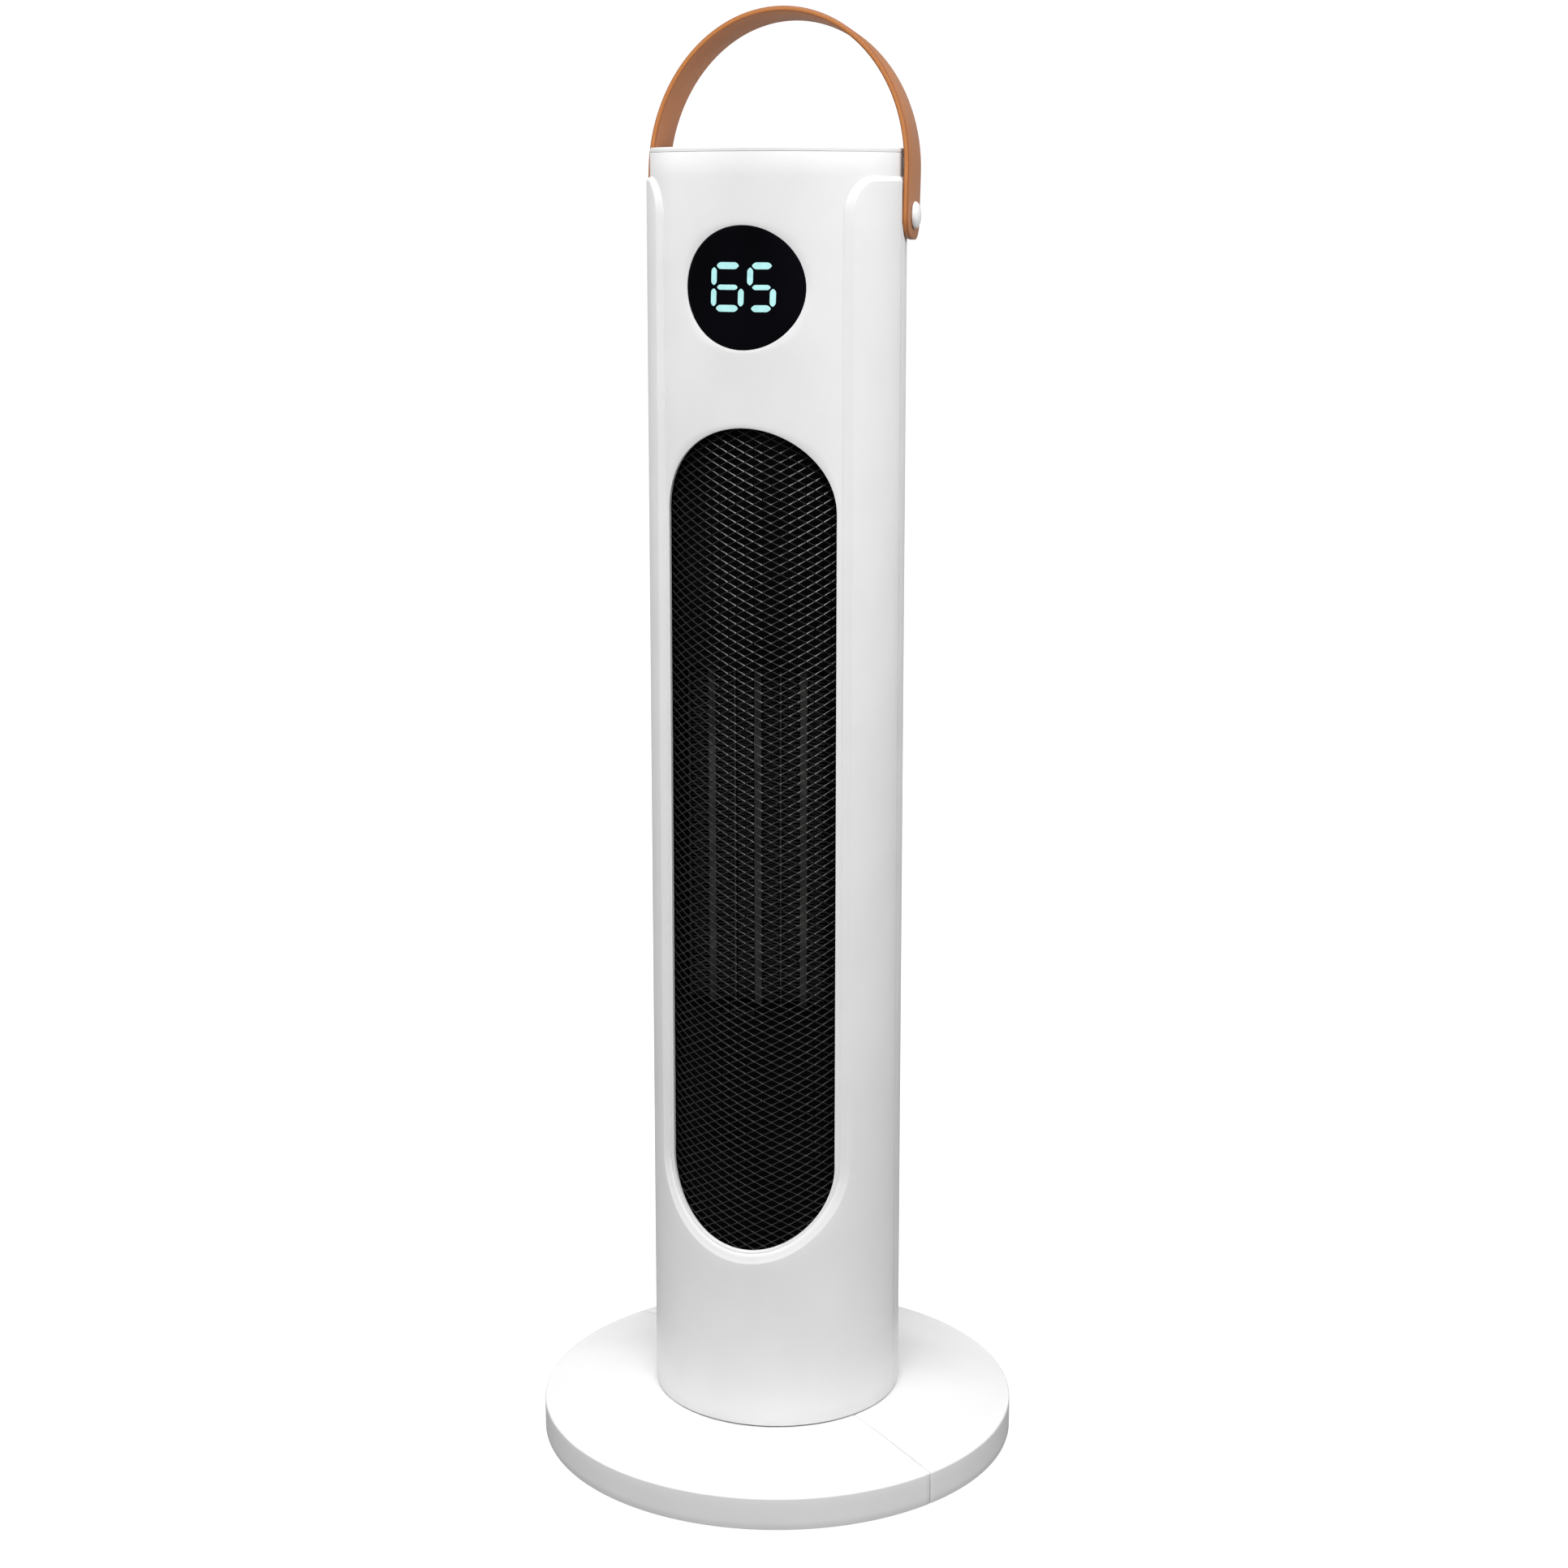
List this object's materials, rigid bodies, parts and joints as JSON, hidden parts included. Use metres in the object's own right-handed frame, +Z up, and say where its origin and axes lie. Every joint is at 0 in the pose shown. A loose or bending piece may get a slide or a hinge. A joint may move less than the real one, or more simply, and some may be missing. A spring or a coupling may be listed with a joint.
{
  "type": "ceramic tower heater",
  "caption": "Tower ceramic fan heater on a round swing base, with a recessed front panel, mesh outlet, round display and a folding strap handle.",
  "frame": {"origin": "on the floor, under the axis of the tower and of its swing", "axes": "+Z up, front towards -Y, +X to the right of a person who faces the front"},
  "size_m": [0.236, 0.236, 0.7033],
  "materials": {
    "white_plastic": "satin moulded",
    "button_plastic": "fine matte",
    "steel": "plain",
    "zinc_screw": "zinc plated",
    "rubber": "matte",
    "black_plastic": "matte moulded",
    "pom": "waxy",
    "motor_case": "zinc plated",
    "mesh_metal": "satin powder coat",
    "display_glass": "high gloss",
    "display_led": "lit",
    "circuit_board": "solder mask",
    "ceramic_heater": "ceramic in an aluminium tube",
    "fin_aluminium": "mill",
    "bronze": "sintered",
    "copper_coil": "enamelled wire under tape",
    "tan_leather": "smooth grain"
  },
  "bodies": {
    "base": {"base_half_front": "white_plastic", "base_half_rear": "white_plastic", "ballast_plate": "steel", "rubber_feet": "rubber", "base_screws": "zinc_screw", "pivot_post": "black_plastic", "glide_ring": "pom", "thrust_washer": "steel", "post_circlip": "steel", "swing_gear": "pom", "hub_screws": "zinc_screw"},
    "tower": {"bottom_plate": "black_plastic", "swing_motor": "motor_case", "motor_spacers": "steel", "front_shell": "white_plastic", "rear_shell": "white_plastic", "front_panel": "white_plastic", "front_grille": "mesh_metal", "grille_clamp": "black_plastic", "display_lens": "display_glass", "display_module": "display_led", "display_board": "circuit_board", "top_cover": "white_plastic", "control_board": "circuit_board", "shell_screws": "zinc_screw", "bottom_screws": "zinc_screw", "air_guide": "black_plastic", "heater_frame": "black_plastic", "ptc_bars": "ceramic_heater", "heater_fins": "fin_aluminium", "heater_separators": "fin_aluminium", "heater_tabs": "steel", "thermal_cutout": "steel", "blower_scroll": "black_plastic", "lower_bush": "bronze", "motor_bracket": "steel", "fan_stator": "motor_case", "fan_coil": "copper_coil", "power_board": "circuit_board", "tilt_switch": "black_plastic", "rocker_housing": "black_plastic", "cord_gland": "black_plastic", "pivot_pins": "steel", "pivot_caps": "white_plastic"},
    "pinion": {"swing_pinion": "pom"},
    "blower": {"blower_wheel": "black_plastic", "blower_shaft": "steel", "fan_rotor": "motor_case"},
    "handle": {"handle_strap": "tan_leather", "strap_eyelets": "steel"},
    "rocker": {"rocker_key": "black_plastic"},
    "button_power": {"button_power": "button_plastic"},
    "button_heat": {"button_heat": "button_plastic"},
    "button_timer": {"button_timer": "button_plastic"},
    "button_minus": {"button_minus": "button_plastic"},
    "button_swing": {"button_swing": "button_plastic"},
    "button_plus": {"button_plus": "button_plastic"}
  },
  "joints": [
    {"name": "tower_swing", "type": "hinge", "parent": "base", "child": "tower", "pos_m": [0, 0, 0.026], "axis": [0, 0, 1], "range_deg": [-73, 0]},
    {"name": "pinion_spin", "type": "hinge", "parent": "tower", "child": "pinion", "pos_m": [0, 0.0242, 0.041], "axis": [0, 0, 1], "range_deg": [-219, 0]},
    {"name": "blower_spin", "type": "hinge", "parent": "tower", "child": "blower", "pos_m": [0, 0.014, 0.3135], "axis": [0, 0, 1], "continuous": true},
    {"name": "handle_fold", "type": "hinge", "parent": "tower", "child": "handle", "pos_m": [0, 0.0112, 0.6064], "axis": [-1, 0, 0], "range_deg": [-6, 130]},
    {"name": "rocker_tilt", "type": "hinge", "parent": "tower", "child": "rocker", "pos_m": [0, 0.061, 0.076], "axis": [1, 0, 0], "range_deg": [0, 14]},
    {"name": "power_press", "type": "slide", "parent": "tower", "child": "button_power", "axis": [0, 0, -1], "range_m": [0, 0.0008], "stiffness_N_per_m": 400, "springref_m": -0.0004},
    {"name": "heat_press", "type": "slide", "parent": "tower", "child": "button_heat", "axis": [0, 0, -1], "range_m": [0, 0.0008], "stiffness_N_per_m": 400, "springref_m": -0.0004},
    {"name": "timer_press", "type": "slide", "parent": "tower", "child": "button_timer", "axis": [0, 0, -1], "range_m": [0, 0.0008], "stiffness_N_per_m": 400, "springref_m": -0.0004},
    {"name": "minus_press", "type": "slide", "parent": "tower", "child": "button_minus", "axis": [0, 0, -1], "range_m": [0, 0.0008], "stiffness_N_per_m": 400, "springref_m": -0.0004},
    {"name": "swing_press", "type": "slide", "parent": "tower", "child": "button_swing", "axis": [0, 0, -1], "range_m": [0, 0.0008], "stiffness_N_per_m": 400, "springref_m": -0.0004},
    {"name": "plus_press", "type": "slide", "parent": "tower", "child": "button_plus", "axis": [0, 0, -1], "range_m": [0, 0.0008], "stiffness_N_per_m": 400, "springref_m": -0.0004}
  ],
  "couplings": [
    {"joint": "pinion_spin", "follows": "tower_swing", "ratio": 3}
  ]
}
